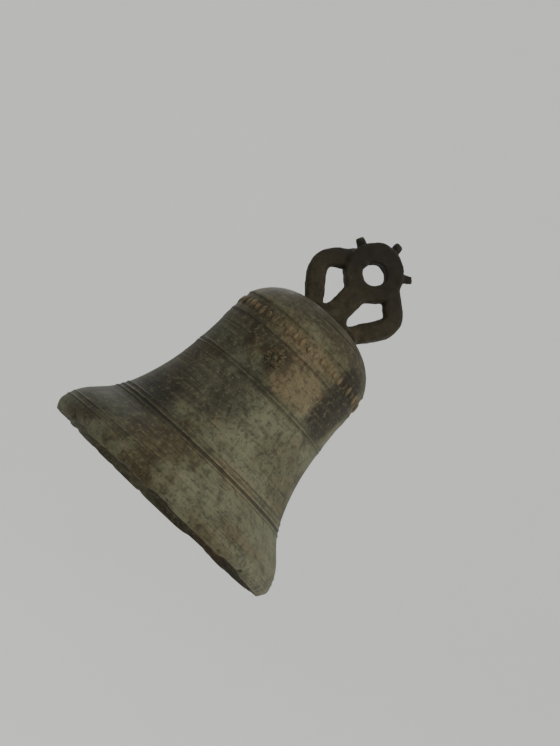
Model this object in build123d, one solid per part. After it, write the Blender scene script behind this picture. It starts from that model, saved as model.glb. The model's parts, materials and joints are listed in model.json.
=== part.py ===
from build123d import *
import os
from math import hypot

# A small cast bell, standing on its lip.  Millimetres, +Z along the bell's axis towards the crown.
# The origin is the centre of the mouth, in the plane of the lip's edge.  The crown's two canons
# spread along X, and the argent's eye runs along Y.

# ---- bell body: outer line, from the lip upwards
mouth_diameter = 340.0      # at the widest ring of the lip
body_height = 302.0         # lip edge to the flat of the head
lip_height = 13.0           # widest ring above the lip's edge
lip_tuck = 5.0              # how far the edge stands inside the widest ring
lip_land = 6.0              # width of the flat edge that the bell stands on
soundbow_height = 38.0
soundbow_tuck = 10.5        # soundbow ring inside the widest ring
flare_height = 62.0
flare_tuck = 32.0           # flare ring inside the widest ring
neck_height = 110.0
neck_diameter = 228.0
waist_height = 165.0
waist_diameter = 203.0
barrel_height = 215.0       # the nearly straight wall above the waist
barrel_diameter = 195.0
shoulder_drop = 38.0        # shoulder ring below the flat of the head
shoulder_diameter = 187.0
shoulder_bulge = 7.0
head_diameter = 92.0        # flat seat of the crown

# ---- bell body: wall, square to the outer line
soundbow_wall = 25.0
flare_wall = 21.0
neck_wall = 12.5
waist_wall = 9.0
shoulder_wall = 10.0
head_wall = 13.0

# ---- moulding wires, raised rings round the body
wire_radius = 1.6
wire_rise = 0.9             # how far a wire stands out of the wall
lip_wires = (22.0, 29.0)            # heights above the lip's edge
flare_wires = (69.0, 75.0, 81.0)
waist_wires = (176.0, 181.0)
frieze_foot_drop = 68.0             # lower wire of the frieze below the flat of the head
frieze_top_drop = 40.0

# ---- crown
argent_width = 30.0         # the upright pier below the ring, along X
argent_depth = 30.0         # along Y
argent_fillet = 4.0
ring_radius = 37.0
ring_lift = 2.0             # centre of the ring's outline above the centre of its eye
eye_diameter = 30.0
eye_height = 80.0           # centre of the eye above the head
eye_rounding = 2.0
seat_length = 84.0          # low block under the pier and the canons' feet, along X
seat_height = 11.0
throat_fillet = 9.0         # where the pier meets the ring and the seat
canon_width = 24.0          # across the bar, in the crown's plane
canon_depth = 22.0          # along Y
canon_corner = 7.0
canon_foot = 22.0           # start of its centre line from the bell's axis
canon_root = 6.0            # start of its centre line below the flat of the head
canon_reach = 57.0          # centre of the elbow from the bell's axis
canon_bend = 16.0           # centre line radius at the elbow
elbow_low = 42.0            # corners of the elbow's centre line above the head
elbow_high = 56.0
arm_rise = 10.0             # where the canon's arm runs into the ring, above the eye's centre
gate_angles = (35.0, 90.0, 155.0)   # cast stubs round the ring, from +X
gate_radius = 7.0
gate_tip_radius = 5.5
gate_length = 11.0          # beyond the ring

# ---- crown staple, cast into the head
staple_diameter = 12.0
staple_bend = 10.0          # centre line radius of its two bends
staple_embed = 8.0          # length of each leg inside the head
staple_drop = 39.0          # cross-bar's centre below the underside of the head

# ---- clapper strap: a leather belt looped over the staple and under the clapper's eye
strap_width = 24.0
strap_thickness = 4.0
strap_drop = 64.0           # staple's cross-bar to the clapper's cross-bar
bar_clearance = 0.5         # between the leather and each bar
side_clearance = 1.5        # between the strap's edge and the bend of a bar
tail_length = 42.0          # free end that lies over the outside of the belt
tail_start = 18.0           # foot of the free end above the clapper's cross-bar
tail_bend = 3.0             # centre line radius where the free end humps over the buckle
hump_half = 4.0             # half the height of the hump's crest
hump_fall = 10.0            # from the crest back down to the belt
hole_clearance = 0.6        # slot in the leather round the tongue
rail_lead = 4.0             # buckle's rail below the foot of the free end

# ---- buckle and keeper
buckle_wire = 4.0
buckle_height = 18.0        # rail to bar, between wire centres
buckle_gap = 0.2            # between the buckle and the leather
buckle_side_gap = 1.0
buckle_corner = 4.0
tongue_wire = 2.6
tongue_width = 3.0          # of its eye, along the buckle's bar
tongue_eye_wall = 3.0       # round the buckle's bar
keeper_height = 8.0
keeper_thickness = 2.0
keeper_gap = 0.2
keeper_rise = 50.0          # centre of the keeper above the clapper's cross-bar

# ---- clapper
eye_bend = 9.0
eye_side_drop = 18.0        # straight part of the eye's sides
eye_tail_drop = 44.0        # where the sides meet on the shank
shank_top_radius = 6.5
shank_foot_radius = 9.0
ball_radius = 22.0
ball_height = 36.0          # centre of the ball above the lip's edge
flight_radius = 8.0
flight_height = 8.0         # tip of the clapper above the lip's edge
flight_chamfer = 2.0

# ---- worked out from the sizes above
mouth_radius = mouth_diameter / 2
head_underside = body_height - head_wall
staple_z = head_underside - staple_drop
clapper_z = staple_z - strap_drop
eye_z = body_height + eye_height
ring_z = eye_z + ring_lift
shoulder_z = body_height - shoulder_drop
half_bar = strap_width / 2 + side_clearance
eye_bar = staple_diameter   # of the clapper's eye: the belt fits round both bars alike
strap_inner = staple_diameter / 2 + bar_clearance
strap_outer = strap_inner + strap_thickness
buckle_x = strap_outer + buckle_gap + buckle_wire / 2
rail_z = clapper_z + tail_start - rail_lead
bar_z = rail_z + buckle_height
tongue_reach = buckle_wire / 2 + buckle_gap + tongue_eye_wall
keeper_z = clapper_z + keeper_rise


def inside(point, before, after, wall):
    """The point moved into the bell by the wall, square to the line from before to after."""
    along = (after[0] - before[0], after[1] - before[1])
    length = hypot(*along)
    return (point[0] - wall * along[1] / length, point[1] + wall * along[0] / length)


lip_edge = (mouth_radius - lip_tuck, 0)
lip_ring = (mouth_radius, lip_height)
soundbow = (mouth_radius - soundbow_tuck, soundbow_height)
flare = (mouth_radius - flare_tuck, flare_height)
neck = (neck_diameter / 2, neck_height)
waist = (waist_diameter / 2, waist_height)
barrel = (barrel_diameter / 2, barrel_height)
shoulder = (shoulder_diameter / 2, shoulder_z)
head = (head_diameter / 2, body_height)
wall_points = (lip_ring, soundbow, flare, neck, waist, barrel, shoulder)
outer_line = Spline(*wall_points, tangents=[(-0.25, 1), (-0.12, 1)])


def radius_at(height):
    """Radius of the body's outer line at a height between the lip ring and the shoulder."""
    low, high = 0.0, 1.0
    for _ in range(40):
        middle = (low + high) / 2
        if (outer_line @ middle).Y < height:
            low = middle
        else:
            high = middle
    return (outer_line @ low).X


def bell_body():
    """The turned shell: lip, soundbow, waist, shoulder and head, open at the mouth."""
    inner_lip = (lip_edge[0] - lip_land, 0)
    inner_shoulder = inside(shoulder, barrel, head, shoulder_wall)
    inner_head = (head[0] - head_wall / 3, head_underside)
    inner_line = Spline(
        inner_lip,
        inside(soundbow, lip_ring, flare, soundbow_wall),
        inside(flare, soundbow, neck, flare_wall),
        inside(neck, flare, waist, neck_wall),
        inside(waist, neck, barrel, waist_wall),
        inside(barrel, waist, shoulder, waist_wall),
        inner_shoulder,
    )
    outline = [
        Line(inner_lip, lip_edge),
        SagittaArc(lip_edge, lip_ring, -1),
        outer_line,
        SagittaArc(shoulder, head, -shoulder_bulge),
        Line(head, (0, body_height)),
        Line((0, body_height), (0, head_underside)),
        Line((0, head_underside), inner_head),
        SagittaArc(inner_shoulder, inner_head, -shoulder_bulge),
        inner_line,
    ]
    return revolve(Plane.XZ * make_face(outline), Axis.Z)


def moulding_wires():
    """Raised rings round the body, more than half sunk in its surface."""
    frieze_wires = (body_height - frieze_foot_drop, body_height - frieze_top_drop)
    heights = lip_wires + flare_wires + waist_wires + frieze_wires
    sunk = wire_radius - wire_rise
    return [Pos(0, 0, height) * Torus(radius_at(height) - sunk, wire_radius) for height in heights]


def staple():
    """A round iron bar bent to a U, whose legs end inside the bell's head."""
    half_span = half_bar + staple_bend
    top = head_underside + staple_embed
    corners = [(-half_span, top), (-half_span, staple_z), (half_span, staple_z), (half_span, top)]
    path = Plane.YZ * FilletPolyline(*corners, radius=staple_bend)
    return sweep(Pos(0, -half_span, top) * Circle(staple_diameter / 2), path=path)


def argent():
    """The crown's upright: a seat, a pier, a ring with a round eye, and three gate stubs."""
    pier = Pos(0, (body_height + eye_z) / 2) * Rectangle(argent_width, eye_height)
    ring = Pos(0, ring_z) * Circle(ring_radius)
    seat = Pos(0, body_height + seat_height / 2) * Rectangle(seat_length, seat_height)
    outline = pier + ring + seat
    throat = [v for v in outline.vertices() if body_height + 1 < v.Y < eye_z]
    outline = fillet(throat, throat_fillet)
    body = extrude(Plane.XZ * outline, argent_depth / 2, both=True)
    rims = body.faces().filter_by(Axis.Y).edges()
    body = fillet([e for e in rims if e.center().Z > body_height + 1], argent_fillet)
    eye = Pos(0, 0, eye_z) * Rot(90, 0, 0)
    body -= eye * Cylinder(eye_diameter / 2, 2 * argent_depth)
    mouths = [e for e in body.edges().filter_by(GeomType.CIRCLE) if abs(e.radius - eye_diameter / 2) < 0.01]
    body = fillet([e for e in mouths if abs(abs(e.center().Y) - argent_depth / 2) < 0.01], eye_rounding)
    for angle in gate_angles:
        body += gate_stub(angle)
    return body


def gate_stub(angle):
    """A short tapered stub that the poured metal left on the ring, at an angle from +X."""
    root = ring_radius - gate_radius
    length = gate_length + gate_radius
    stub = Cone(gate_radius, gate_tip_radius, length, align=(Align.CENTER, Align.CENTER, Align.MIN))
    return Pos(0, 0, ring_z) * Rot(0, 90 - angle, 0) * Pos(0, 0, root) * stub


def canon(side, upright):
    """One side loop, from the head out to its elbow and back in to the argent's ring."""
    route = [
        (side * canon_foot, body_height - canon_root),
        (side * canon_reach, body_height + elbow_low),
        (side * canon_reach, body_height + elbow_high),
        (side * ring_radius / 2, eye_z + arm_rise),
    ]
    path = Plane.XZ * FilletPolyline(*route, radius=canon_bend)
    section = Plane(path @ 0, x_dir=(0, 1, 0), z_dir=path % 0) * RectangleRounded(
        canon_depth, canon_width, canon_corner
    )
    bar = sweep(section, path=path)
    bar = split(bar, Plane.XY.offset(body_height), keep=Keep.TOP)
    ring_middle = (ring_radius + eye_diameter / 2) / 2
    inside_ring = Pos(0, 0, ring_z) * Rot(90, 0, 0) * Cylinder(ring_middle, argent_depth)
    return bar - inside_ring - upright


def belt_band(points, radius):
    """A strip of leather as thick as the strap, along a line in the XZ plane."""
    line = FilletPolyline(*points, radius=radius)
    return extrude(Plane.XZ * trace(line, strap_thickness), strap_width / 2, both=True)


def strap():
    """The closed belt, its free end humped over the buckle's bar, and the slot for the tongue."""
    middle_z = (staple_z + clapper_z) / 2
    outside = SlotCenterToCenter(strap_drop, 2 * strap_outer, rotation=90)
    opening = SlotCenterToCenter(strap_drop, 2 * strap_inner, rotation=90)
    loop = extrude(Plane.XZ * Pos(0, middle_z) * (outside - opening), strap_width / 2, both=True)
    flat_x = strap_outer + strap_thickness / 2
    hump_x = buckle_x + buckle_wire / 2 + buckle_gap + strap_thickness / 2
    foot_z = clapper_z + tail_start
    tail = belt_band(
        [
            (flat_x, foot_z),
            (hump_x, bar_z - hump_half),
            (hump_x, bar_z + hump_half),
            (flat_x, bar_z + hump_half + hump_fall),
            (flat_x, foot_z + tail_length),
        ],
        radius=tail_bend,
    )
    slot_width = tongue_width + 2 * hole_clearance
    slot_height = buckle_height + tongue_reach + hole_clearance
    slot_x = buckle_x - tongue_reach - hole_clearance
    slot = Pos(slot_x, 0, rail_z) * Box(
        4 * strap_thickness, slot_width, slot_height, align=(Align.MIN, Align.CENTER, Align.MIN)
    )
    return loop + tail - slot


def buckle_frame():
    """A flat rectangular wire frame whose bar lies between the belt and its free end."""
    half_width = strap_width / 2 + buckle_side_gap + buckle_wire / 2
    outline = Rectangle(2 * half_width, buckle_height)
    outline = fillet(outline.vertices(), buckle_corner)
    wire = Plane(origin=(buckle_x, 0, (rail_z + bar_z) / 2), x_dir=(0, 1, 0), z_dir=(1, 0, 0)) * outline
    start = Plane(origin=(buckle_x, 0, bar_z), x_dir=(0, 0, 1), z_dir=(0, 1, 0))
    path = wire.wires()[0]
    return sweep(start * Circle(buckle_wire / 2), path=path)


def buckle_tongue():
    """A pin that turns on the buckle's bar and rests on its rail."""
    pin_x = buckle_x + tongue_reach - tongue_eye_wall / 2
    tip_z = rail_z - buckle_wire
    across = Pos(buckle_x, 0, bar_z) * Rot(90, 0, 0)
    hub = across * Cylinder(tongue_reach, tongue_width)
    pin = Pos(pin_x, 0, (bar_z + tip_z) / 2) * Cylinder(tongue_wire / 2, bar_z - tip_z)
    return hub + pin - across * Cylinder(tongue_reach - tongue_eye_wall, 2 * tongue_width)


def keeper():
    """A narrow leather band round the belt and its free end."""
    inner = strap_inner - keeper_gap
    outer = strap_outer + strap_thickness + keeper_gap
    place = Pos((inner + outer) / 2, 0, keeper_z)
    opening = (outer - inner, strap_width + 2 * keeper_gap)
    band = Box(opening[0] + 2 * keeper_thickness, opening[1] + 2 * keeper_thickness, keeper_height)
    return place * (band - Box(*opening, 2 * keeper_height))


def clapper():
    """One forging: a stirrup-shaped eye, a tapered shank, a ball and a short flight."""
    half_span = half_bar + eye_bend
    corners = [
        (half_span, clapper_z),
        (half_span, clapper_z - eye_side_drop),
        (0, clapper_z - eye_tail_drop),
        (-half_span, clapper_z - eye_side_drop),
        (-half_span, clapper_z),
    ]
    path = Plane.YZ * FilletPolyline(*corners, radius=eye_bend, close=True)
    eye = sweep(Plane(path @ 0, z_dir=path % 0) * Circle(eye_bar / 2), path=path)
    shank_top = clapper_z - eye_tail_drop + eye_bar / 2
    shank = Polyline(
        (0, shank_top),
        (shank_top_radius, shank_top),
        (shank_foot_radius, ball_height),
        (flight_radius, flight_height + flight_chamfer),
        (flight_radius - flight_chamfer, flight_height),
        (0, flight_height),
        close=True,
    )
    turned = revolve(Plane.XZ * make_face(shank), Axis.Z)
    return eye + turned + Pos(0, 0, ball_height) * Sphere(ball_radius)


def build():
    """Every piece by the name of its node."""
    crown_staple = staple()
    upright = argent()
    shell = bell_body()
    for wire in moulding_wires():
        shell += wire
    return {
        "bell_shell": shell - crown_staple,
        "argent": upright,
        "canon_left": canon(-1, upright),
        "canon_right": canon(1, upright),
        "crown_staple": crown_staple,
        "clapper_strap": strap(),
        "buckle_frame": buckle_frame(),
        "buckle_tongue": buckle_tongue(),
        "strap_keeper": keeper(),
        "clapper": clapper(),
    }


os.makedirs("parts", exist_ok=True)
for name, piece in build().items():
    export_step(piece, f"parts/{name}.step")
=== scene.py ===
"""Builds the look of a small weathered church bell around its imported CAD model."""

import json
import math

import bmesh
import bpy
from mathutils import Matrix, Vector, noise


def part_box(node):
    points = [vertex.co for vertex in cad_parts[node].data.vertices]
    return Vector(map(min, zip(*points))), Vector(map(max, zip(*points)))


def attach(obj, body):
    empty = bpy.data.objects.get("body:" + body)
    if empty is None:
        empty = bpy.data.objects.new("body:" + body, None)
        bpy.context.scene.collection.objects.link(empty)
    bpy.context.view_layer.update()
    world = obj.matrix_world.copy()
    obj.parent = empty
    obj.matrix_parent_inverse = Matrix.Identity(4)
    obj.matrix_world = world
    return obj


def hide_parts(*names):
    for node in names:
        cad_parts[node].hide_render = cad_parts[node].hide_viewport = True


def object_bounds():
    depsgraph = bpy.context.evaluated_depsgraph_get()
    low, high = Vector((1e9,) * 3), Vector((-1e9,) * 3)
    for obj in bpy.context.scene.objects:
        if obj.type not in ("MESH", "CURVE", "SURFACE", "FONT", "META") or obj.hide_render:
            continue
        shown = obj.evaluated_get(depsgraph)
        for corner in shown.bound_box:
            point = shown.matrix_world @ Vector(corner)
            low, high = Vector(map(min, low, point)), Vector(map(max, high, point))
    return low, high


bl_info = {
    "name": "Church Bell",
    "version": (1, 0, 0),
    "blender": (4, 5, 0),
    "location": "3D View > Sidebar > Bell",
    "description": "Builds a weathered cast bell, its crown, clapper and strap",
    "category": "Add Mesh",
}

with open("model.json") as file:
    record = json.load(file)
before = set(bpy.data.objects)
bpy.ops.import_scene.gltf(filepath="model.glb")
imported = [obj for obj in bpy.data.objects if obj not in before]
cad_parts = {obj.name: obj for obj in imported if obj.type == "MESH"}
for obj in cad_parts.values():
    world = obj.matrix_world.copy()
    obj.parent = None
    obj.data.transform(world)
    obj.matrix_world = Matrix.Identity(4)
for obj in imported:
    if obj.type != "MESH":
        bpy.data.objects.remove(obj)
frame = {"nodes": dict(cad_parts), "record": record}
CAD_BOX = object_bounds()

MM = 0.001
WELD = 0.001 * MM
HEAD_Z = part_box("bell_shell")[1][2]
PIVOT = {joint["name"]: Vector(joint["pos_m"]) for joint in frame["record"]["behaviour"]["joints"]}


# ---------------------------------------------------------------- settings

def number(name, description, default):
    return bpy.props.FloatProperty(name=name, description=description, default=default, min=0.0)


def length(name, description, default):
    return bpy.props.FloatProperty(
        name=name, description=description, default=default, min=0.0, subtype="DISTANCE", unit="LENGTH"
    )


def colour(name, description, default):
    return bpy.props.FloatVectorProperty(
        name=name, description=description, default=default, size=3, min=0.0, max=1.0, subtype="COLOR"
    )


def count(name, description, default):
    return bpy.props.IntProperty(name=name, description=description, default=default, min=3)


def angle(name, description, degrees):
    turn = math.radians(degrees)
    return bpy.props.FloatProperty(
        name=name, description=description, default=turn, subtype="ANGLE", unit="ROTATION"
    )


class BellSizes(bpy.types.PropertyGroup):
    """The cast body and its raised ornament."""

    steps_around: count("Steps around", "Divisions of the turned body", 276)
    profile_crowd: length("Profile crowding", "Shortest step along the body's outline", 0.55 * MM)
    profile_step: length("Profile step", "Longest step along the body's outline", 4.2 * MM)
    dent_depth: length("Dents", "Slow unevenness of the cast wall", 0.9 * MM)
    lump_depth: length("Lumps", "Roughness left by the mould", 0.56 * MM)
    striation_depth: length("Striations", "Fine rings left by turning the mould", 0.32 * MM)
    chip_depth: length("Chips", "Depth of the chips knocked out of the lip", 5.0 * MM)
    chip_height: length("Chip height", "Height over which a chip fades out", 13.0 * MM)
    frieze_height: length("Frieze height", "Middle of the frieze above the lip's edge", 248.0 * MM)
    frieze_count: count("Frieze motifs", "Motifs round the frieze", 54)
    motif_height: length("Motif height", "Height of an upright frieze leaf", 17.0 * MM)
    leaf_width: length("Leaf width", "Width of a frieze leaf", 8.0 * MM)
    lozenge_width: length("Lozenge width", "Width of a frieze lozenge", 6.4 * MM)
    motif_relief: length("Motif relief", "How far the ornament stands proud", 2.0 * MM)
    emblem_height: length("Emblem height", "Middle of the rosette above the lip's edge", 213.0 * MM)
    emblem_radius: length("Emblem radius", "Radius of the rosette", 15.0 * MM)
    emblem_turn: angle("Emblem turn", "Rosette's place round the body, from the front", -9.5)


class CrownSizes(bpy.types.PropertyGroup):
    """The argent and canons."""

    voxel: length("Voxel", "Grain of the crown's mesh", 1.25 * MM)
    lump_depth: length("Lumps", "Roughness of the cast crown", 1.2 * MM)
    sag_depth: length("Sag", "Slow unevenness of the cast bars", 2.2 * MM)


class FittingSizes(bpy.types.PropertyGroup):
    """The iron and leather inside the bell."""

    iron_voxel: length("Iron voxel", "Grain of the forged pieces' meshes", 1.1 * MM)
    leather_voxel: length("Leather voxel", "Grain of the leather pieces' meshes", 0.8 * MM)
    hammer_depth: length("Hammer marks", "Depth of the forging's flats", 0.5 * MM)
    crease_depth: length("Creases", "Slow unevenness of the leather", 0.35 * MM)
    grain_depth: length("Grain", "Fine grain of the leather", 0.08 * MM)
    stitch_length: length("Stitch", "Length of one stitch", 3.2 * MM)
    stitch_pitch: length("Stitch pitch", "Distance from stitch to stitch", 4.6 * MM)
    stitch_radius: length("Stitch radius", "Half the thread's width", 0.5 * MM)
    stitch_inset: length("Stitch inset", "Row of stitches inside the strap's edge", 4.0 * MM)


class BellColours(bpy.types.PropertyGroup):
    """Every finish's colours."""

    # Oxide is the darkest bronze, and is also laid on as painted shade inside the body and down its -X
    # side.
    oxide_and_painted_shade: colour("Oxide", "Darkest bronze", (0.008, 0.0065, 0.0035))
    olive: colour("Olive", "Brown patina", (0.043, 0.034, 0.015))
    # Verdigris is grey-green patina, and is also laid on as painted light on the body's +X side.
    verdigris_and_painted_light: colour("Verdigris", "Grey-green patina", (0.092, 0.094, 0.055))
    tan: colour("Tan", "Rubbed bronze", (0.135, 0.096, 0.049))
    rust: colour("Rust", "Rusted iron", (0.058, 0.025, 0.012))
    scale: colour("Scale", "Dark forge scale", (0.018, 0.015, 0.013))
    hide: colour("Hide", "Dry leather", (0.085, 0.040, 0.019))
    thread: colour("Thread", "Waxed thread", (0.270, 0.215, 0.130))
    studio: colour("Studio", "Floor and wall", (0.700, 0.698, 0.680))
    shadow: colour("Studio mottle", "Faint mottle of the floor and wall", (0.600, 0.600, 0.590))
    sky: colour("Sky", "Light from all round", (0.95, 0.97, 1.0))


class StageSizes(bpy.types.PropertyGroup):
    """The studio round the bell."""

    floor_drop: length("Floor", "Floor below the lip", 1.15)
    cove_radius: length("Cove", "Radius of the seamless wall", 4.2)
    cove_bend: length("Bend", "Radius between floor and wall", 1.6)
    cove_height: length("Wall", "Height of the wall above the floor", 5.0)
    camera_distance: length("Distance", "Camera to the middle of the bell", 2.31)
    camera_rise: angle("Rise", "Camera's height angle, below the bell's middle when negative", -7.3)
    camera_roll: angle("Roll", "Lean of the bell in the picture", 43.5)
    lens: number("Lens", "Focal length in mm", 92.0)
    sky_strength: number("Sky strength", "Strength of the light from all round", 1.05)


# ---------------------------------------------------------------- node helpers

class Nodes:
    """Short calls that add nodes to a shader or geometry tree and return their first output."""

    def __init__(self, tree):
        self.tree = tree

    def add(self, kind, sockets=None, **settings):
        node = self.tree.nodes.new(kind)
        for name, value in settings.items():
            setattr(node, name, value)
        for key, value in (sockets or {}).items():
            if isinstance(value, bpy.types.NodeSocket):
                self.tree.links.new(value, node.inputs[key])
            else:
                node.inputs[key].default_value = value
        return node

    def math(self, operation, first, second=0.0, clamp=False):
        node = self.add("ShaderNodeMath", {0: first, 1: second}, operation=operation, use_clamp=clamp)
        return node.outputs[0]

    def vector(self, operation, first, second=(0.0, 0.0, 0.0)):
        return self.add("ShaderNodeVectorMath", {0: first, 1: second}, operation=operation).outputs[0]

    def scaled(self, vector, factor):
        node = self.add("ShaderNodeVectorMath", {0: vector, "Scale": factor}, operation="SCALE")
        return node.outputs[0]

    def noise(self, place, scale, detail=3.0, rough=0.55, distort=0.0):
        """Clouds round 0.5, with so many to the metre."""
        node = self.add("ShaderNodeTexNoise", {"Vector": place, "Scale": scale}, noise_dimensions="3D")
        for name, value in (("Detail", detail), ("Roughness", rough), ("Distortion", distort)):
            node.inputs[name].default_value = value
        return node.outputs[0]

    def cells(self, place, scale, feature="F1"):
        """Distance from the middles of scattered cells, or from their edges."""
        sockets = {"Vector": place, "Scale": scale}
        return self.add("ShaderNodeTexVoronoi", sockets, feature=feature).outputs["Distance"]

    def ramp(self, value, low, high, start=0.0, end=1.0):
        """Eases from start to end while the value goes from low to high."""
        sockets = {"Value": value, 1: low, 2: high, 3: start, 4: end}
        return self.add("ShaderNodeMapRange", sockets, interpolation_type="SMOOTHSTEP").outputs[0]

    def blend(self, *layers):
        """The sum of several values, each times its share."""
        total = 0.0
        for value, share in layers:
            total = self.math("ADD", total, self.math("MULTIPLY", value, share))
        return total

    def split(self, vector):
        node = self.add("ShaderNodeSeparateXYZ", {0: vector})
        return node.outputs[0], node.outputs[1], node.outputs[2]

    def join(self, x, y, z):
        return self.add("ShaderNodeCombineXYZ", {0: x, 1: y, 2: z}).outputs[0]


def group_inputs(tree, sockets):
    """Names a geometry tree's inputs and output, and gives the node that reads the inputs."""
    tree.interface.new_socket("Geometry", in_out="INPUT", socket_type="NodeSocketGeometry")
    for name, kind in sockets:
        tree.interface.new_socket(name, in_out="INPUT", socket_type=kind)
    tree.interface.new_socket("Geometry", in_out="OUTPUT", socket_type="NodeSocketGeometry")
    return tree.nodes.new("NodeGroupInput").outputs


def finish_tree(nodes, geometry, material):
    """Ends a geometry tree in real, smooth, finished faces."""
    real = nodes.add("GeometryNodeRealizeInstances", {0: geometry}).outputs[0]
    smooth = nodes.add("GeometryNodeSetShadeSmooth", {0: real}).outputs[0]
    done = nodes.add("GeometryNodeSetMaterial", {0: smooth, "Material": material}).outputs[0]
    nodes.add("NodeGroupOutput", {0: done})


def new_object(name, mesh):
    """An object for the mesh, in the scene."""
    item = bpy.data.objects.new(name, mesh)
    bpy.context.collection.objects.link(item)
    return item


def run_tree(item, tree, values):
    """Gives the object a tree's result as its own plain mesh, with faces pointing outwards."""
    modifier = item.modifiers.new(tree.name, "NODES")
    modifier.node_group = tree
    for socket in tree.interface.items_tree:
        if socket.in_out == "INPUT" and socket.name in values:
            modifier[socket.identifier] = values[socket.name]
    return settle(item)


def settle(item):
    """Applies every modifier of an object to its mesh, welded and with its faces pointing outwards."""
    depsgraph = bpy.context.evaluated_depsgraph_get()
    mesh = bpy.data.meshes.new_from_object(item.evaluated_get(depsgraph), depsgraph=depsgraph)
    mesh.name = item.name
    item.modifiers.clear()
    item.data = mesh
    work = bmesh.new()
    work.from_mesh(mesh)
    bmesh.ops.remove_doubles(work, verts=work.verts, dist=WELD)
    bmesh.ops.recalc_face_normals(work, faces=work.faces)
    work.to_mesh(mesh)
    work.free()
    return item


def mark_proud(mesh, spread=3, strength=1.0):
    """Stores how far each point stands out of its surroundings, spread over its neighbours."""
    work = bmesh.new()
    work.from_mesh(mesh)
    work.verts.ensure_lookup_table()
    proud = []
    for vert in work.verts:
        around = [edge.other_vert(vert).co for edge in vert.link_edges]
        middle = sum(around, Vector()) / len(around)
        reach = sum((place - vert.co).length for place in around) / len(around)
        proud.append(strength * (vert.co - middle).dot(vert.normal) / max(reach, WELD))
    for _ in range(spread):
        proud = [
            (proud[vert.index] + sum(proud[edge.other_vert(vert).index] for edge in vert.link_edges))
            / (1 + len(vert.link_edges))
            for vert in work.verts
        ]
    work.free()
    layer = mesh.attributes.new("proud", "FLOAT", "POINT")
    layer.data.foreach_set("value", proud)


# ---------------------------------------------------------------- materials

class Finish:
    """One procedural material, laid on in layers over a base colour."""

    def __init__(self, name):
        self.material = bpy.data.materials.new(name)
        self.material.use_nodes = True
        self.tree = self.material.node_tree
        self.nodes = Nodes(self.tree)
        self.shader = self.tree.nodes["Principled BSDF"]
        self.place = self.nodes.add("ShaderNodeTexCoord").outputs["Object"]
        self.surface = None

    def base(self, value):
        """The colour under every layer."""
        self.surface = self.nodes.add("ShaderNodeRGB").outputs[0]
        self.surface.default_value = (*value, 1.0)

    def over(self, value, factor, strength=1.0):
        """Lays a colour over what is there, as far as the factor and its strength say."""
        share = self.nodes.math("MULTIPLY", factor, strength, clamp=True)
        node = self.nodes.add("ShaderNodeMix", {0: share}, data_type="RGBA")
        self.tree.links.new(self.surface, node.inputs[6])
        node.inputs[7].default_value = (*value, 1.0)
        self.surface = node.outputs[2]

    def stretched(self, x, y, z):
        """The place on the piece, scaled along each axis."""
        return self.nodes.vector("MULTIPLY", self.place, (x, y, z))

    def attribute(self, name):
        return self.nodes.add("ShaderNodeAttribute", attribute_name=name).outputs["Fac"]

    def patch(self, centre, radii, rim):
        """A patch round a place, 1 in its middle, with a broken rim as soft as the rim says."""
        ragged = self.nodes.noise(self.place, 42.0, detail=4.0, rough=0.6)
        away = self.nodes.vector("DIVIDE", self.nodes.vector("SUBTRACT", self.place, centre), radii)
        reach = self.nodes.add("ShaderNodeVectorMath", {0: away}, operation="LENGTH").outputs["Value"]
        reach = self.nodes.math("ADD", reach, ragged)
        return self.nodes.ramp(reach, 1.5 - rim, 1.5 + rim, start=1.0, end=0.0)

    def close(self, roughness, bump, metallic, depth):
        """Joins the colour, gloss, metal and relief to the shader."""
        links = self.tree.links
        links.new(self.surface, self.shader.inputs["Base Color"])
        links.new(roughness, self.shader.inputs["Roughness"])
        if isinstance(metallic, bpy.types.NodeSocket):
            links.new(metallic, self.shader.inputs["Metallic"])
        else:
            self.shader.inputs["Metallic"].default_value = metallic
        relief = self.nodes.add("ShaderNodeBump", {"Height": bump, "Distance": depth, "Strength": 1.0})
        links.new(relief.outputs[0], self.shader.inputs["Normal"])
        return self.material


def patinated(name, colours, green):
    """Brown cast bronze under drifts of grey-green patina."""
    finish = Finish(name)
    nodes = finish.nodes
    finish.base(colours.olive)
    clouds = nodes.noise(finish.place, 13.0, detail=5.0, rough=0.62, distort=0.4)
    finish.over(colours.verdigris_and_painted_light, nodes.ramp(clouds, 0.62 - green * 0.4, 0.78 - green * 0.3))
    return finish


def weathered(finish, colours, green, dark, turned):
    """Breaks a bronze up with mottle, speckle and, where it was turned, fine rings."""
    nodes = finish.nodes
    mottle = nodes.noise(finish.place, 58.0, detail=7.0, rough=0.74, distort=0.6)
    finish.over(colours.oxide_and_painted_shade, nodes.ramp(mottle, 0.54, 0.36), 0.36 + dark)
    finish.over(colours.tan, nodes.ramp(mottle, 0.56, 0.68), 0.35)
    speckle = nodes.noise(finish.place, 190.0, detail=7.0, rough=0.75)
    finish.over(colours.verdigris_and_painted_light, nodes.ramp(speckle, 0.52, 0.62), 0.20 + 0.5 * green)
    finish.over(colours.oxide_and_painted_shade, nodes.ramp(speckle, 0.49, 0.40), 0.48)
    rings = nodes.noise(finish.stretched(9.0, 9.0, 520.0), 1.0, detail=5.0, rough=0.7)
    shown = nodes.ramp(nodes.noise(finish.place, 18.0), 0.40, 0.62, start=0.35 * turned, end=turned)
    finish.over(colours.tan, nodes.math("MULTIPLY", nodes.ramp(rings, 0.54, 0.68), shown), 0.48)
    finish.over(colours.oxide_and_painted_shade, nodes.math("MULTIPLY", nodes.ramp(rings, 0.47, 0.34), shown), 0.62)
    return speckle, nodes.math("MULTIPLY", rings, shown)


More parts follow.
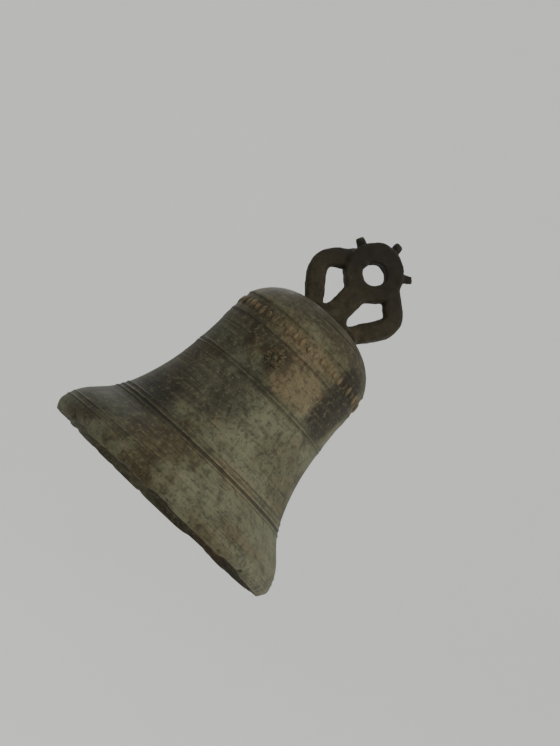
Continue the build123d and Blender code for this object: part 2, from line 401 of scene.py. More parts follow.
def close_bronze(finish, colours, speckle, rings, worn):
    """Adds edge wear, hollows, pits and gloss to a bronze finish."""
    nodes = finish.nodes
    proud = finish.attribute("proud")
    rub = nodes.noise(finish.place, 75.0, detail=4.0, rough=0.6)
    edge = nodes.math("MULTIPLY", nodes.ramp(proud, 0.03, 0.20), nodes.ramp(rub, 0.36, 0.58))
    finish.over(colours.tan, edge, worn)
    finish.over(colours.oxide_and_painted_shade, nodes.ramp(proud, -0.015, -0.10), 0.75)
    pits = nodes.ramp(nodes.cells(finish.place, 260.0), 0.0, 0.30)
    finish.over(colours.oxide_and_painted_shade, nodes.math("SUBTRACT", 1.0, pits), 0.60)
    rough = nodes.ramp(speckle, 0.3, 0.7, start=0.62, end=0.86)
    rough = nodes.math("SUBTRACT", rough, nodes.math("MULTIPLY", edge, 0.18))
    grain = nodes.noise(finish.place, 620.0, detail=5.0, rough=0.7)
    relief = nodes.blend((grain, 0.5), (rings, 0.9), (pits, 0.35), (speckle, 0.8))
    finish.shader.inputs["Specular IOR Level"].default_value = 0.18
    metal = nodes.ramp(edge, 0.2, 1.0, start=0.05, end=0.35)
    return finish.close(rough, relief, metal, depth=0.9 * MM)


# Colour, strength, centre and half widths in metres, and softness of the rim.
SOFT = 0.45
CRISP = 0.20
BODY_PATCHES = (
    # Partly grey-green patina and partly painted light: these two patches lighten the +X waist and
    # flare, the side the key light faces.
    ("verdigris_and_painted_light", 0.45, (0.055, -0.100, 0.130), (0.085, 0.090, 0.070), SOFT),
    ("verdigris_and_painted_light", 0.40, (0.105, -0.110, 0.040), (0.090, 0.090, 0.045), SOFT),
    ("tan", 0.46, (0.026, -0.100, 0.208), (0.044, 0.060, 0.026), CRISP),
    ("tan", 0.42, (0.010, -0.095, 0.246), (0.050, 0.060, 0.012), SOFT),
    ("oxide_and_painted_shade", 0.85, (0.078, -0.065, 0.226), (0.026, 0.040, 0.056), CRISP),
    ("oxide_and_painted_shade", 0.62, (-0.020, -0.110, 0.150), (0.024, 0.050, 0.050), SOFT),
    # Partly dark patina and partly painted shade: these three oxide patches darken the -X side, away
    # from the key light.
    ("oxide_and_painted_shade", 0.60, (-0.090, -0.080, 0.160), (0.060, 0.080, 0.110), SOFT),
    ("oxide_and_painted_shade", 0.70, (-0.120, -0.070, 0.060), (0.075, 0.080, 0.060), SOFT),
    ("oxide_and_painted_shade", 0.45, (-0.085, 0.040, 0.200), (0.050, 0.070, 0.060), SOFT),
    ("oxide_and_painted_shade", 0.50, (0.000, 0.000, 0.290), (0.110, 0.120, 0.020), SOFT),
    ("oxide_and_painted_shade", 0.62, (-0.016, -0.096, 0.213), (0.017, 0.030, 0.017), SOFT),
    ("tan", 0.35, (0.040, 0.095, 0.190), (0.050, 0.050, 0.040), SOFT),
    ("tan", 0.45, (0.045, -0.135, 0.076), (0.038, 0.060, 0.010), SOFT),
    ("rust", 0.75, (0.092, 0.125, 0.010), (0.030, 0.030, 0.030), SOFT),
    ("rust", 0.35, (0.095, -0.120, 0.030), (0.040, 0.050, 0.008), SOFT),
)


def bell_bronze(colours):
    """The body's bronze, with a brown shoulder, rubbed tan panel, dark streaks and pale green waist,
    with painted shade inside and down the -X side and painted light on the +X side.
    """
    finish = patinated("bell_bronze_patina", colours, green=0.62)
    nodes = finish.nodes
    height = nodes.split(finish.place)[2]
    drifts = nodes.noise(finish.place, 24.0, detail=5.0, rough=0.65)
    broken = nodes.ramp(drifts, 0.34, 0.60, start=0.30, end=0.85)
    finish.over(colours.olive, nodes.math("MULTIPLY", nodes.ramp(height, 0.185, 0.245), broken))
    for shade, strength, centre, radii, rim in BODY_PATCHES:
        finish.over(getattr(colours, shade), finish.patch(centre, radii, rim), strength)
    # Painted shade: oxide colour laid over the inward-facing wall darkens the whole inside of the bell.
    finish.over(colours.oxide_and_painted_shade, nodes.ramp(outward_face(finish), 0.05, -0.25), 0.6)
    speckle, rings = weathered(finish, colours, green=0.62, dark=0.10, turned=1.0)
    return close_bronze(finish, colours, speckle, rings, worn=0.60)


def outward_face(finish):
    """How far the surface faces away from the bell's axis: 1 outside, -1 inside."""
    nodes = finish.nodes
    x, y, _ = nodes.split(finish.place)
    level = nodes.vector("NORMALIZE", nodes.join(x, y, 0.0))
    faces = nodes.add("ShaderNodeNewGeometry").outputs["Normal"]
    facing = nodes.add("ShaderNodeVectorMath", {0: level, 1: faces}, operation="DOT_PRODUCT")
    return facing.outputs["Value"]


def crown_bronze(colours):
    """The crown's bronze, darker and browner than the body."""
    finish = patinated("crown_bronze_patina", colours, green=0.25)
    height = finish.nodes.split(finish.place)[2]
    speckle, rings = weathered(finish, colours, green=0.10, dark=0.25, turned=0.0)
    finish.over(colours.oxide_and_painted_shade, finish.nodes.ramp(height, 0.315, 0.395, start=0.50, end=0.94))
    return close_bronze(finish, colours, speckle, rings, worn=0.35)


def forged_iron(colours):
    """Hand-forged iron: dark scale under an even coat of brown rust."""
    finish = Finish("forged_iron_rust")
    nodes = finish.nodes
    finish.base(colours.scale)
    bloom = nodes.noise(finish.place, 90.0, detail=6.0, rough=0.7, distort=0.6)
    finish.over(colours.rust, nodes.ramp(bloom, 0.36, 0.62))
    fresh = nodes.noise(finish.place, 300.0, detail=4.0, rough=0.7)
    finish.over(colours.tan, nodes.ramp(fresh, 0.60, 0.78), 0.30)
    finish.over(colours.scale, nodes.ramp(finish.attribute("proud"), 0.10, 0.40), 0.6)
    flakes = nodes.cells(finish.place, 420.0)
    relief = nodes.blend((bloom, 1.2), (flakes, 0.5), (fresh, 0.6))
    rough = nodes.ramp(bloom, 0.3, 0.7, start=0.58, end=0.92)
    return finish.close(rough, relief, metallic=0.35, depth=0.6 * MM)


def strap_leather(colours):
    """Dry brown harness leather, cracked across its bends and rubbed at its edges."""
    finish = Finish("strap_leather_dry")
    nodes = finish.nodes
    finish.base(colours.hide)
    tone = nodes.noise(finish.place, 60.0, detail=4.0, rough=0.6)
    finish.over(colours.scale, nodes.ramp(tone, 0.48, 0.68), 0.55)
    finish.over(colours.tan, nodes.ramp(finish.attribute("proud"), 0.08, 0.35), 0.45)
    cracks = nodes.cells(finish.stretched(1.0, 0.45, 2.6), 320.0, feature="DISTANCE_TO_EDGE")
    crack = nodes.ramp(cracks, 0.10, 0.0)
    finish.over(colours.scale, crack, 0.7)
    pores = nodes.noise(finish.place, 1500.0, detail=3.0, rough=0.6)
    relief = nodes.blend((pores, 0.5), (crack, -0.8))
    rough = nodes.ramp(tone, 0.3, 0.7, start=0.55, end=0.80)
    return finish.close(rough, relief, metallic=0.0, depth=0.4 * MM)


def waxed_thread(colours):
    """Pale waxed thread, laid in two strands."""
    finish = Finish("waxed_thread")
    nodes = finish.nodes
    finish.base(colours.thread)
    soil = nodes.noise(finish.place, 400.0, detail=4.0, rough=0.6)
    finish.over(colours.hide, nodes.ramp(soil, 0.45, 0.70), 0.6)
    twist = nodes.noise(finish.stretched(1.0, 3.0, 3.0), 900.0, detail=2.0, rough=0.5)
    rough = nodes.ramp(soil, 0.3, 0.7, start=0.55, end=0.75)
    return finish.close(rough, twist, metallic=0.0, depth=0.2 * MM)


def studio_white(colours):
    """The studio's floor and wall: matt paint with a faint mottle."""
    finish = Finish("studio_paint")
    nodes = finish.nodes
    finish.base(colours.studio)
    mottle = nodes.noise(finish.place, 1.5, detail=3.0, rough=0.5)
    finish.over(colours.shadow, mottle, 0.25)
    rough = nodes.ramp(mottle, 0.2, 0.8, start=0.82, end=0.92)
    return finish.close(rough, mottle, metallic=0.0, depth=0.3 * MM)


MATERIALS = {
    "bell_bronze": bell_bronze,
    "crown_bronze": crown_bronze,
    "forged_iron": forged_iron,
    "strap_leather": strap_leather,
    "waxed_thread": waxed_thread,
    "studio_white": studio_white,
}
made = {}


def finish_for(name):
    """The named material, made once."""
    if name not in made:
        made[name] = MATERIALS[name](bpy.context.scene.bell_colours)
    return made[name]


def place_piece(piece, body, slot, *nodes):
    """Parents a finished piece to its body's empty and hides the CAD nodes it stands for; the slot
    argument is not used.
    """
    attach(piece, body)
    if nodes:
        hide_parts(*nodes)


# ---------------------------------------------------------------- the body's outline

SECTION_TURN = math.radians(37.0)   # direction of the cut, away from the CAD mesh's seams
ON_AXIS = 0.01 * MM                 # a point this near the axis ends the section
HEAD_REACH = 0.5 * MM               # the section starts within this of the axis
FINE_HEIGHT = 24.0 * MM             # the lip's outline has finer steps below this height
FINE_SHARE = 0.45                   # length of a fine step, as a share of a plain one
SMOOTH_ROUNDS = 6


def cut_shell(work, along):
    """The points where a half plane through the axis cuts the shell, each with its neighbours."""
    work.from_mesh(frame["nodes"]["bell_shell"].data)
    bmesh.ops.remove_doubles(work, verts=work.verts, dist=WELD)
    square = Vector((-along.y, along.x, 0.0))
    geometry = work.verts[:] + work.edges[:] + work.faces[:]
    found = bmesh.ops.bisect_plane(work, geom=geometry, dist=WELD, plane_co=(0, 0, 0), plane_no=square)
    neighbours = {}
    for edge in found["geom_cut"]:
        if not isinstance(edge, bmesh.types.BMEdge):
            continue
        first, second = edge.verts
        if min(first.co.dot(along), second.co.dot(along)) > -ON_AXIS:
            neighbours.setdefault(first, []).append(second)
            neighbours.setdefault(second, []).append(first)
    return neighbours


def read_outline():
    """The body's half section, from the top of the head over the lip and back up inside."""
    along = Vector((math.cos(SECTION_TURN), math.sin(SECTION_TURN), 0.0))
    work = bmesh.new()
    neighbours = cut_shell(work, along)
    axial = [vert for vert in neighbours if vert.co.dot(along) < HEAD_REACH]
    start = max(axial, key=lambda vert: vert.co.z)
    chain = [start]
    before, here = None, start
    while len(chain) == 1 or here.co.dot(along) >= ON_AXIS:
        onward = [vert for vert in neighbours[here] if vert is not before]
        if not onward or onward[0] is start:
            break
        before, here = here, onward[0]
        chain.append(here)
    outline = [Vector((max(vert.co.dot(along), 0.0), vert.co.z)) for vert in chain]
    work.free()
    return outline


def thinned(outline, crowd):
    """The outline without the points that crowd the one before them."""
    kept = [outline[0]]
    for point in outline[1:-1]:
        if (point - kept[-1]).length > crowd:
            kept.append(point)
    return kept + [outline[-1]]


def even_outline(outline, crowd, step):
    """The thinned outline, with its long stretches divided and smoothed."""
    kept = thinned(outline, crowd)
    points = [kept[0]]
    divided = [False]
    for low, high in zip(kept, kept[1:]):
        longest = step * (FINE_SHARE if max(low.y, high.y) < FINE_HEIGHT else 1.0)
        parts = max(1, math.ceil((high - low).length / longest))
        for part in range(1, parts + 1):
            points.append(low.lerp(high, part / parts))
            divided.append(parts > 1)
    divided[-1] = False
    for _ in range(SMOOTH_ROUNDS):
        points = [
            (points[index - 1] + 2 * point + points[index + 1]) / 4 if divided[index] else point
            for index, point in enumerate(points)
        ]
    return points


def wall_at(outline, height):
    """The outer wall's radius at a height."""
    outer = outline[: max(range(len(outline)), key=lambda index: outline[index].x) + 1]
    for upper, lower in zip(outer, outer[1:]):
        if lower.y <= height <= upper.y and upper.y > lower.y:
            share = (height - lower.y) / (upper.y - lower.y)
            return lower.x + (upper.x - lower.x) * share
    raise ValueError("no wall at this height")


# ---------------------------------------------------------------- the cast body

def body_tree():
    """Turns the outline round the axis, then adds the unevenness of a cast and knocked-about wall."""
    tree = bpy.data.node_groups.new("turned_body", "GeometryNodeTree")
    sizes = ("Dents", "Lumps", "Striations", "Chips", "Chip height")
    sockets = [("Steps around", "NodeSocketInt"), ("Material", "NodeSocketMaterial")]
    given = group_inputs(tree, sockets + [(name, "NodeSocketFloat") for name in sizes])
    nodes = Nodes(tree)
    outline = given["Geometry"]
    per_column = nodes.add("GeometryNodeAttributeDomainSize", {0: outline}, component="MESH").outputs[0]
    columns = nodes.math("ADD", given["Steps around"], 1.0)
    counts = {"Vertices X": columns, "Vertices Y": per_column}
    grid = nodes.add("GeometryNodeMeshGrid", counts).outputs[0]
    index = nodes.add("GeometryNodeInputIndex").outputs[0]
    column = nodes.math("FLOOR", nodes.math("DIVIDE", nodes.math("ADD", index, 0.5), per_column))
    row = nodes.math("SUBTRACT", index, nodes.math("MULTIPLY", column, per_column))
    place = nodes.add("GeometryNodeInputPosition").outputs[0]
    sample = nodes.add("GeometryNodeSampleIndex", {0: outline}, data_type="FLOAT_VECTOR", domain="POINT")
    tree.links.new(place, sample.inputs["Value"])
    tree.links.new(row, sample.inputs["Index"])
    radius, _, height = nodes.split(sample.outputs[0])
    turn = nodes.math("DIVIDE", nodes.math("MULTIPLY", column, math.tau), given["Steps around"])
    around = nodes.join(
        nodes.math("MULTIPLY", radius, nodes.math("COSINE", turn)),
        nodes.math("MULTIPLY", radius, nodes.math("SINE", turn)),
        height,
    )
    wall = nodes.add("GeometryNodeSetPosition", {0: grid, "Position": around}).outputs[0]
    wall = nodes.add("GeometryNodeMergeByDistance", {0: wall, "Distance": WELD}).outputs[0]
    for offset in (wall_relief(nodes, place, given), lip_chips(nodes, place, given)):
        wall = nodes.add("GeometryNodeSetPosition", {0: wall, "Offset": offset}).outputs[0]
    finish_tree(nodes, wall, given["Material"])
    return tree


def wall_relief(nodes, place, given):
    """Offset along the wall's normal: slow dents, mould lumps and turned striations."""
    normal = nodes.add("GeometryNodeInputNormal").outputs[0]
    off_the_edge = nodes.ramp(nodes.split(place)[2], 0.004, 0.016)
    dents = nodes.math("SUBTRACT", nodes.noise(place, 9.0, detail=1.0, rough=0.5), 0.5)
    lumps = nodes.math("SUBTRACT", nodes.noise(place, 85.0, detail=3.0, rough=0.6), 0.5)
    stretched = nodes.vector("MULTIPLY", place, (4.0, 4.0, 260.0))
    rings = nodes.math("SUBTRACT", nodes.noise(stretched, 1.0, detail=3.0, rough=0.6), 0.5)
    total = nodes.blend((dents, given["Dents"]), (lumps, given["Lumps"]), (rings, given["Striations"]))
    return nodes.scaled(normal, nodes.math("MULTIPLY", total, off_the_edge))


def lip_chips(nodes, place, given):
    """Offset of the lip's edge: upwards and inwards where it is chipped or worn away."""
    x, y, height = nodes.split(place)
    level = nodes.join(x, y, 0.0)
    fade = nodes.ramp(height, 0.0, given["Chip height"], start=1.0, end=0.0)
    small = nodes.ramp(nodes.noise(level, 62.0, detail=3.0, rough=0.6), 0.50, 0.68)
    large = nodes.ramp(nodes.noise(level, 21.0, detail=2.0, rough=0.5, distort=0.3), 0.50, 0.66)
    depth = nodes.math("MULTIPLY", nodes.blend((small, 0.42), (large, 0.58)), fade)
    depth = nodes.math("MULTIPLY", depth, given["Chips"])
    outward = nodes.vector("NORMALIZE", level)
    sideways = nodes.scaled(outward, nodes.math("MULTIPLY", depth, -0.35))
    return nodes.vector("ADD", sideways, nodes.join(0.0, 0.0, depth))


class BELL_OT_body(bpy.types.Operator):
    """Turn the cast body from its half section"""

    bl_idname = "bell.body"
    bl_label = "Cast body"

    def execute(self, context):
        sizes = context.scene.bell_sizes
        outline = even_outline(read_outline(), sizes.profile_crowd, sizes.profile_step)
        mesh = bpy.data.meshes.new("bell_body")
        points = [(point.x, 0.0, point.y) for point in outline]
        mesh.from_pydata(points, [(index, index + 1) for index in range(len(points) - 1)], [])
        body = run_tree(new_object("bell_body", mesh), body_tree(), {
            "Steps around": sizes.steps_around,
            "Material": finish_for("bell_bronze"),
            "Dents": sizes.dent_depth,
            "Lumps": sizes.lump_depth,
            "Striations": sizes.striation_depth,
            "Chips": sizes.chip_depth,
            "Chip height": sizes.chip_height,
        })
        mark_proud(body.data, spread=1)
        place_piece(body, "bell", "bell_bronze", "bell_shell")
        return {"FINISHED"}


# ---------------------------------------------------------------- raised ornament

def relief_motif(name, half_width, half_height, relief, corners, waist=0.0):
    """A small domed relief: X along the wall, Z up, -Y outwards. Waist pulls its middle in."""
    work = bmesh.new()
    root = (1.0, 0.6 * relief)
    shoulder = (0.72, -0.75 * relief)
    crest = (0.34, -relief)
    rings = []
    for share, depth in (root, shoulder, crest):
        ring = []
        for step in range(corners):
            turn = math.tau * step / corners
            across = math.sin(turn) * (1.0 - waist * math.cos(turn) ** 2)
            up = math.cos(turn)
            ring.append(work.verts.new((half_width * share * across, depth, half_height * share * up)))
        rings.append(ring)
    for lower, upper in zip(rings, rings[1:]):
        for step in range(corners):
            onward = (step + 1) % corners
            work.faces.new((lower[step], lower[onward], upper[onward], upper[step]))
    work.faces.new(rings[-1])
    work.faces.new(rings[0][::-1])
    bmesh.ops.recalc_face_normals(work, faces=work.faces)
    mesh = bpy.data.meshes.new(name)
    work.to_mesh(mesh)
    work.free()
    return new_object(name, mesh)


def out_of_true(nodes, given, index):
    """The turn and size of each motif on the ring, each a little different."""
    turn = nodes.math("DIVIDE", nodes.math("MULTIPLY", index, math.tau), given["Count"])
    turn = nodes.math("ADD", turn, math.pi / 2)
    lean = nodes.join(given["Lean"], 0.0, turn)
    limits = {0: (-1.0, -1.0, -1.0), 1: (1.0, 1.0, 1.0), "Seed": given["Seed"]}
    wobble = nodes.add("FunctionNodeRandomValue", limits, data_type="FLOAT_VECTOR").outputs[0]
    smallest, largest = 0.88, 1.06
    limits = {2: smallest, 3: largest, "Seed": given["Seed"]}
    size = nodes.add("FunctionNodeRandomValue", limits, data_type="FLOAT").outputs[1]
    return nodes.vector("ADD", lean, nodes.scaled(wobble, given["Untrue"])), size


def motif_ring_tree(name):
    """Two motifs in turn round a level circle, each a little out of true."""
    tree = bpy.data.node_groups.new(name, "GeometryNodeTree")
    sockets = [(socket, "NodeSocketInt") for socket in ("Count", "Seed")]
    sockets += [(socket, "NodeSocketFloat") for socket in ("Radius", "Height", "Lean", "Untrue")]
    sockets += [(socket, "NodeSocketObject") for socket in ("First", "Second")]
    given = group_inputs(tree, sockets + [("Material", "NodeSocketMaterial")])
    nodes = Nodes(tree)
    circle = {"Vertices": given["Count"], "Radius": given["Radius"]}
    line = nodes.add("GeometryNodeMeshCircle", circle).outputs[0]
    raised = nodes.join(0.0, 0.0, given["Height"])
    line = nodes.add("GeometryNodeSetPosition", {0: line, "Offset": raised}).outputs[0]
    index = nodes.add("GeometryNodeInputIndex").outputs[0]
    rotation, size = out_of_true(nodes, given, index)
    pair = nodes.add("GeometryNodeGeometryToInstance")
    for motif in ("Second", "First"):
        shown = nodes.add("GeometryNodeObjectInfo", {"Object": given[motif]}).outputs["Geometry"]
        tree.links.new(shown, pair.inputs[0])
    spread = nodes.add("GeometryNodeInstanceOnPoints", {
        "Points": line,
        "Instance": pair.outputs[0],
        "Pick Instance": True,
        "Instance Index": nodes.math("MODULO", index, 2.0),
        "Rotation": rotation,
        "Scale": size,
    })
    finish_tree(nodes, spread.outputs[0], given["Material"])
    return tree


def motif_ring(name, motifs, values):
    """Runs the ring of motifs into one plain mesh and removes the motifs' own objects."""
    base = bpy.data.meshes.new(name)
    given = {**values, "First": motifs[0], "Second": motifs[1], "Material": finish_for("bell_bronze")}
    ring = run_tree(new_object(name, base), motif_ring_tree(name + "_tree"), given)
    for motif in motifs:
        bpy.data.objects.remove(motif)
    return ring


class BELL_OT_frieze(bpy.types.Operator):
    """Set a frieze of upright leaves and lozenges between the two upper wires"""

    bl_idname = "bell.frieze"
    bl_label = "Frieze"

    def execute(self, context):
        sizes = context.scene.bell_sizes
        outline = read_outline()
        middle, half = sizes.frieze_height, sizes.motif_height / 2
        radius = wall_at(outline, middle)
        slope = (wall_at(outline, middle - half) - wall_at(outline, middle + half)) / (2 * half)
        leaf = relief_motif("leaf", sizes.leaf_width / 2, half, sizes.motif_relief, 16, waist=0.35)
        lozenge = relief_motif("lozenge", sizes.lozenge_width / 2, 0.6 * half, sizes.motif_relief, 12)
        frieze = motif_ring("frieze", (leaf, lozenge), {
            "Count": sizes.frieze_count,
            "Radius": radius,
            "Height": middle,
            "Lean": -math.atan(slope),
            "Untrue": math.radians(2.0),
            "Seed": 4,
        })
        mark_proud(frieze.data, strength=0.9)
        place_piece(frieze, "bell", "bell_bronze")
        return {"FINISHED"}


class BELL_OT_emblem(bpy.types.Operator):
    """Set a plain eight-petalled rosette on the front of the body"""

    bl_idname = "bell.emblem"
    bl_label = "Rosette"

    def execute(self, context):
        sizes = context.scene.bell_sizes
        radius = sizes.emblem_radius
        relief = sizes.motif_relief * 1.1
        rosette = self.petals(radius, relief)
        boss = relief_motif("boss", radius * 0.24, radius * 0.24, relief, 16)
        work = bmesh.new()
        work.from_mesh(rosette.data)
        for vert in work.verts:
            vert.co = vert.co.xzy
        work.from_mesh(boss.data)
        self.wrap(work, sizes)
        work.to_mesh(rosette.data)
        work.free()
        bpy.data.objects.remove(boss)
        rosette.data.materials.clear()
        rosette.data.materials.append(finish_for("bell_bronze"))
        mark_proud(rosette.data, strength=0.35)
        place_piece(rosette, "bell", "bell_bronze")
        return {"FINISHED"}

    def petals(self, radius, relief):
        """Eight petals with eight buds between them, lying level round the origin."""
        petal = relief_motif("petal", radius * 0.20, radius * 0.33, relief, 12, waist=-0.3)
        bud = relief_motif("bud", radius * 0.12, radius * 0.25, relief, 8)
        return motif_ring("emblem", (petal, bud), {
            "Count": 16,
            "Radius": radius * 0.60,
            "Height": 0.0,
            "Lean": math.pi / 2,
            "Untrue": 0.0,
            "Seed": 7,
        })

    def wrap(self, work, sizes):
        """Lays the upright rosette on the wall, one material over all its faces."""
        outline = read_outline()
        for vert in work.verts:
            turn = sizes.emblem_turn + vert.co.x / wall_at(outline, sizes.emblem_height)
            height = sizes.emblem_height + vert.co.z
            reach = wall_at(outline, height) - vert.co.y
            vert.co = Vector((reach * math.sin(turn), -reach * math.cos(turn), height))
        for face in work.faces:
            face.material_index = 0
        bmesh.ops.recalc_face_normals(work, faces=work.faces)


# ---------------------------------------------------------------- pieces shaped from their CAD nodes

def worked_copy(name, nodes, voxel, rounds, material):
    """One rounded skin over copies of the CAD nodes, fine enough to carry wear."""
    work = bmesh.new()
    for node in nodes:
        work.from_mesh(frame["nodes"][node].data)
    bmesh.ops.remove_doubles(work, verts=work.verts, dist=WELD)
    mesh = bpy.data.meshes.new(name)
    work.to_mesh(mesh)
    work.free()
    item = new_object(name, mesh)
    remesh = item.modifiers.new("Skin", "REMESH")
    remesh.mode = "VOXEL"
    remesh.voxel_size = voxel
    soften = item.modifiers.new("Soften", "SMOOTH")
    soften.factor = 0.5
    soften.iterations = rounds
    settle(item)
    item.data.materials.clear()
    item.data.materials.append(material)
    item.data.shade_smooth()
    return item


def roughen(mesh, *layers):
    """Moves each point along its normal by layers of noise: depth, lumps to the metre, stretch up."""
    normals = [vert.normal.copy() for vert in mesh.vertices]
    for vert, normal in zip(mesh.vertices, normals):
        total = 0.0
        for depth, scale, stretch in layers:
            place = Vector((vert.co.x, vert.co.y, vert.co.z / stretch))
            total += depth * noise.noise(place * scale)
        vert.co += normal * total


class BELL_OT_crown(bpy.types.Operator):
    """Skin the argent and the two canons as one rough casting"""

    bl_idname = "bell.crown"
    bl_label = "Crown"

    def execute(self, context):
        sizes = context.scene.crown_sizes
        nodes = ("argent", "canon_left", "canon_right")
        crown = worked_copy("crown", nodes, sizes.voxel, 16, finish_for("crown_bronze"))
        sag = (sizes.sag_depth, 22.0, 1.0)
        lumps = (sizes.lump_depth, 95.0, 1.0)
        sand = (sizes.lump_depth * 0.4, 320.0, 1.0)
        roughen(crown.data, sag, lumps, sand)
        mark_proud(crown.data)
        place_piece(crown, "bell", "crown_bronze", *nodes)
        return {"FINISHED"}


class BELL_OT_iron(bpy.types.Operator):
    """Forge the staple, the clapper and the strap's buckle"""

    bl_idname = "bell.iron"
    bl_label = "Ironwork"

    # Node, body, and the shares of the voxel and of the hammer marks that its size bears.
    forgings = (
        ("crown_staple", "bell", 1.0, 1.0),
        ("clapper", "clapper", 1.0, 1.0),
        ("buckle_frame", "strap", 0.45, 0.25),
        ("buckle_tongue", "strap", 0.35, 0.25),
    )

    def execute(self, context):
        sizes = context.scene.fitting_sizes
        for node, body, fineness, marking in self.forgings:
            voxel = sizes.iron_voxel * fineness
            piece = worked_copy("forged_" + node, (node,), voxel, 3, finish_for("forged_iron"))
            depth = sizes.hammer_depth * marking
            roughen(piece.data, (depth, 70.0, 2.0), (depth * 0.5, 420.0, 1.0))
            mark_proud(piece.data)
            place_piece(piece, body, "forged_iron", node)
        return {"FINISHED"}


# ---------------------------------------------------------------- strap

def stitch_tree():
    """Short rounded stitches, end to end along a line."""
    tree = bpy.data.node_groups.new("stitches", "GeometryNodeTree")
    sockets = [(socket, "NodeSocketFloat") for socket in ("Pitch", "Length", "Radius")]
    given = group_inputs(tree, sockets + [("Material", "NodeSocketMaterial")])
    nodes = Nodes(tree)
    line = nodes.add("GeometryNodeMeshToCurve", {0: given["Geometry"]}).outputs[0]
    points = nodes.add("GeometryNodeCurveToPoints", {0: line, "Length": given["Pitch"]}, mode="LENGTH")
    tangent = points.outputs["Tangent"]
    turned = nodes.add("FunctionNodeAlignRotationToVector", {"Vector": tangent}, axis="Z")
    grain = nodes.add("GeometryNodeMeshUVSphere", {"Segments": 8, "Rings": 6, "Radius": 1.0}).outputs[0]
    size = nodes.join(given["Radius"], given["Radius"], nodes.math("DIVIDE", given["Length"], 2.0))
    spread = nodes.add("GeometryNodeInstanceOnPoints", {
        "Points": points.outputs[0],
        "Instance": grain,
        "Rotation": turned.outputs[0],
        "Scale": size,
    })
    finish_tree(nodes, spread.outputs[0], given["Material"])
    return tree


class BELL_OT_strap(bpy.types.Operator):
    """Cut the leather strap and its keeper and sew the strap's edges"""

    bl_idname = "bell.strap"
    bl_label = "Strap"

    def execute(self, context):
        sizes = context.scene.fitting_sizes
        for node, fineness in (("clapper_strap", 1.0), ("strap_keeper", 0.6)):
            voxel = sizes.leather_voxel * fineness
            piece = worked_copy("leather_" + node, (node,), voxel, 2, finish_for("strap_leather"))
            roughen(piece.data, (sizes.crease_depth, 55.0, 1.0), (sizes.grain_depth, 500.0, 1.0))
            mark_proud(piece.data)
            place_piece(piece, "strap", "strap_leather", node)
        self.sew(sizes)
        return {"FINISHED"}

    def sew(self, sizes):
        """Two rows of stitches down the strap's plain outer run."""
        low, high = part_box("clapper_strap")
        top, foot = PIVOT["strap_swing"].z, PIVOT["clapper_swing"].z
        points = []
        edges = []
        for side in (low[1] + sizes.stitch_inset, high[1] - sizes.stitch_inset):
            edges.append((len(points), len(points) + 1))
            points += [(low[0], side, foot), (low[0], side, top)]
        mesh = bpy.data.meshes.new("strap_stitches")
        mesh.from_pydata(points, edges, [])
        stitches = run_tree(new_object("strap_stitches", mesh), stitch_tree(), {
            "Pitch": sizes.stitch_pitch,
            "Length": sizes.stitch_length,
            "Radius": sizes.stitch_radius,
            "Material": finish_for("waxed_thread"),
        })
        place_piece(stitches, "strap", "strap_leather")


# ---------------------------------------------------------------- studio

# Name, place and width in metres, and power in watts.
LIGHTS = (
    ("key", (1.9, -1.7, 1.7), 1.6, 62.0),
    ("fill", (-1.9, -1.9, 1.0), 2.2, 22.0),
    ("back", (-0.8, 2.3, 1.9), 2.0, 42.0),
    ("low", (0.9, -1.4, -0.8), 1.8, 12.0),
    ("wall", (2.6, 1.4, -0.2), 1.2, 20.0),
)


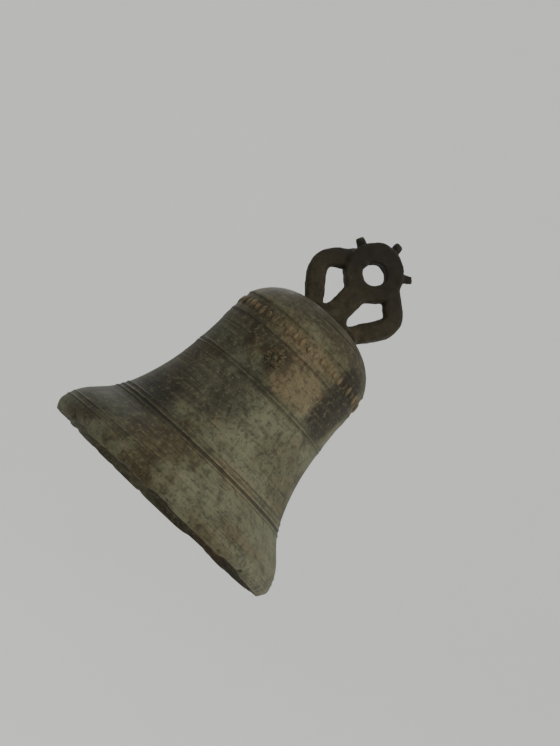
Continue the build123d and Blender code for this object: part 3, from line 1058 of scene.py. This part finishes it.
class BELL_OT_stage(bpy.types.Operator):
    """Set up the floor and wall, the lights and the camera"""

    bl_idname = "bell.stage"
    bl_label = "Studio"

    def execute(self, context):
        sizes = context.scene.stage_sizes
        self.cove(sizes)
        self.sky(context.scene, sizes)
        self.lights()
        self.camera(context.scene, sizes)
        return {"FINISHED"}

    def cove(self, sizes):
        """A floor that curves up into a round wall."""
        bend_steps = 12
        floor_z = -sizes.floor_drop
        bend = sizes.cove_bend
        flat = sizes.cove_radius - bend
        section = [(0.0, floor_z), (flat, floor_z)]
        for step in range(1, bend_steps + 1):
            turn = math.pi / 2 * step / bend_steps
            section.append((flat + bend * math.sin(turn), floor_z + bend - bend * math.cos(turn)))
        section.append((sizes.cove_radius, floor_z + sizes.cove_height))
        work = bmesh.new()
        verts = [work.verts.new((radius, 0.0, height)) for radius, height in section]
        edges = [work.edges.new(pair) for pair in zip(verts, verts[1:])]
        line = verts + edges
        bmesh.ops.spin(work, geom=line, cent=(0, 0, 0), axis=(0, 0, 1), angle=math.tau, steps=96)
        bmesh.ops.remove_doubles(work, verts=work.verts, dist=0.01 * MM)
        bmesh.ops.recalc_face_normals(work, faces=work.faces)
        mesh = bpy.data.meshes.new("cove")
        work.to_mesh(mesh)
        work.free()
        mesh.materials.append(finish_for("studio_white"))
        mesh.shade_smooth()
        new_object("cove", mesh)

    def sky(self, scene, sizes):
        """Soft light from all round."""
        world = bpy.data.worlds.new("soft_sky")
        world.use_nodes = True
        background = world.node_tree.nodes["Background"]
        background.inputs["Color"].default_value = (*scene.bell_colours.sky, 1.0)
        background.inputs["Strength"].default_value = sizes.sky_strength
        scene.world = world

    def lights(self):
        """Broad round lights that face the middle of the body and stay out of the picture."""
        middle = Vector((0.0, 0.0, HEAD_Z / 2))
        for name, place, width, power in LIGHTS:
            light = bpy.data.lights.new(name, "AREA")
            light.shape = "DISK"
            light.size = width
            light.energy = power
            lamp = bpy.data.objects.new(name, light)
            lamp.location = place
            lamp.rotation_euler = (Vector(place) - middle).to_track_quat("Z", "Y").to_euler()
            lamp.visible_camera = False
            bpy.context.collection.objects.link(lamp)

    def camera(self, scene, sizes):
        """A camera below the bell's middle, rolled so that the bell leans to the right."""
        target = Vector((0.0, 0.0, CAD_BOX[1][2] / 2))
        rise, roll = sizes.camera_rise, sizes.camera_roll
        back = Vector((0.0, -math.cos(rise), math.sin(rise)))
        level = Vector((1.0, 0.0, 0.0))
        upright = back.cross(level)
        right = level * math.cos(roll) + upright * math.sin(roll)
        up = back.cross(right)
        lens = bpy.data.cameras.new("camera")
        lens.lens = sizes.lens
        lens.clip_end = 30.0
        camera = bpy.data.objects.new("camera", lens)
        turned = Matrix((right, up, back)).transposed().to_4x4()
        camera.matrix_world = Matrix.Translation(target + back * sizes.camera_distance) @ turned
        bpy.context.collection.objects.link(camera)
        scene.camera = camera


# ---------------------------------------------------------------- add-on

class BELL_PT_panel(bpy.types.Panel):
    """Lists the bell's builders and settings"""

    bl_idname = "BELL_PT_panel"
    bl_label = "Church Bell"
    bl_space_type = "VIEW_3D"
    bl_region_type = "UI"
    bl_category = "Bell"

    def draw(self, context):
        layout = self.layout
        for operator in BUILDERS:
            layout.operator(operator.bl_idname)
        for settings in SETTINGS:
            group = getattr(context.scene, settings)
            box = layout.box()
            for name in group.bl_rna.properties.keys():
                if name not in ("rna_type", "name"):
                    box.prop(group, name)


SETTINGS = {
    "bell_sizes": BellSizes,
    "crown_sizes": CrownSizes,
    "fitting_sizes": FittingSizes,
    "bell_colours": BellColours,
    "stage_sizes": StageSizes,
}
BUILDERS = (
    BELL_OT_stage,
    BELL_OT_body,
    BELL_OT_frieze,
    BELL_OT_emblem,
    BELL_OT_crown,
    BELL_OT_iron,
    BELL_OT_strap,
)


def register():
    for kind in (*SETTINGS.values(), *BUILDERS, BELL_PT_panel):
        bpy.utils.register_class(kind)
    for name, kind in SETTINGS.items():
        setattr(bpy.types.Scene, name, bpy.props.PointerProperty(type=kind))


def unregister():
    for name in SETTINGS:
        delattr(bpy.types.Scene, name)
    for kind in (BELL_PT_panel, *reversed(BUILDERS), *SETTINGS.values()):
        bpy.utils.unregister_class(kind)


def main():
    """Builds every piece."""
    register()
    for operator in BUILDERS:
        area, call = operator.bl_idname.split(".")
        getattr(getattr(bpy.ops, area), call)()


if __name__ == "__main__":
    main()
